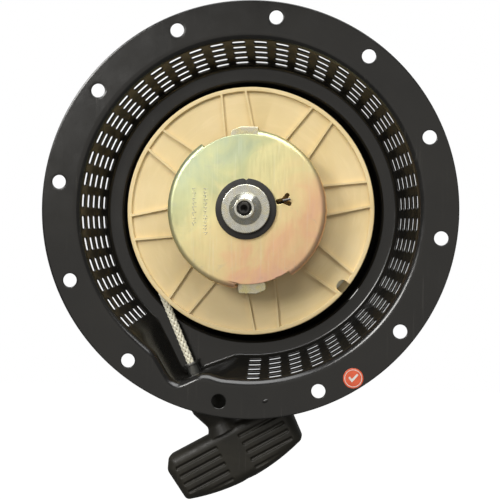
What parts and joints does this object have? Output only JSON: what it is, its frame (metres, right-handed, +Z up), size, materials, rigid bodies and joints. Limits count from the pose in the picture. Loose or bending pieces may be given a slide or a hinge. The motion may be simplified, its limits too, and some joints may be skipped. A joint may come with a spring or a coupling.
{
  "type": "recoil starter",
  "caption": "Pull-rope recoil starter in a slotted pressed-steel housing with a bolt flange, a sprung reel, swing-out pawls, a friction plate and a T handle.",
  "frame": {"origin": "centre of the flange's mounting face, which is the plane that lies on the engine", "axes": "-Y along the reel's axis towards the engine, +Z up with the rope leaving down to the right, +X to the right seen from the engine's side"},
  "size_m": [0.27, 0.072, 0.3273],
  "materials": {
    "black_paint": "satin",
    "turned_steel": "satin",
    "zinc_plate": "satin",
    "spring_steel": "satin",
    "cream_plastic": "matte",
    "braided_rope": "matte",
    "guide_steel": "satin",
    "yellow_zinc": "gloss",
    "black_friction": "matte",
    "black_plastic": "satin",
    "orange_label": "gloss",
    "pawl_steel": "satin"
  },
  "bodies": {
    "housing": {"housing": "black_paint", "centre_post": "turned_steel", "post_backing_washer": "zinc_plate", "spring_anchor_pin": "turned_steel", "recoil_spring": "spring_steel", "rope_guide": "guide_steel", "rope_run": "braided_rope", "friction_ring": "black_friction", "flat_washer": "zinc_plate", "flange_nut": "zinc_plate", "inspection_sticker": "orange_label"},
    "reel": {"reel": "cream_plastic", "reel_bush": "turned_steel", "rope_wound": "braided_rope", "rope_knot": "braided_rope", "pawl_pin_a": "turned_steel", "pawl_pin_b": "turned_steel", "friction_spring": "spring_steel", "return_spring": "spring_steel"},
    "friction_plate": {"friction_plate": "yellow_zinc"},
    "pawl_a": {"pawl_a": "pawl_steel"},
    "pawl_b": {"pawl_b": "pawl_steel"},
    "handle": {"handle": "black_plastic", "handle_washer": "zinc_plate", "handle_knot": "braided_rope", "rope_outer": "braided_rope"}
  },
  "joints": [
    {"name": "reel_spin", "type": "hinge", "parent": "housing", "child": "reel", "pos_m": [0, 0, 0], "axis": [0, -1, 0], "range_deg": [0, 675], "stiffness_Nm_per_rad": 0.05, "springref_deg": -359.82, "deforming": ["recoil_spring", "rope_wound", "rope_run", "rope_outer"]},
    {"name": "handle_pull", "type": "slide", "parent": "housing", "child": "handle", "axis": [0.4848, 0, -0.8746], "range_m": [0, 0.9]},
    {"name": "friction_plate_lag", "type": "hinge", "parent": "reel", "child": "friction_plate", "pos_m": [0, 0, 0], "axis": [0, -1, 0], "range_deg": [-25, 0], "stiffness_Nm_per_rad": 0.05, "springref_deg": 17.19, "deforming": ["return_spring"]},
    {"name": "pawl_a_swing", "type": "hinge", "parent": "reel", "child": "pawl_a", "pos_m": [0.003, 0, 0.0429], "axis": [0, 1, 0], "range_deg": [0, 32]},
    {"name": "pawl_b_swing", "type": "hinge", "parent": "reel", "child": "pawl_b", "pos_m": [-0.003, 0, -0.0429], "axis": [0, 1, 0], "range_deg": [0, 32]}
  ],
  "couplings": [
    {"joint": "handle_pull", "follows": "reel_spin", "m_per_rad": 0.0763},
    {"joint": "pawl_a_swing", "follows": "friction_plate_lag", "ratio": -1.28},
    {"joint": "pawl_b_swing", "follows": "friction_plate_lag", "ratio": -1.28}
  ]
}
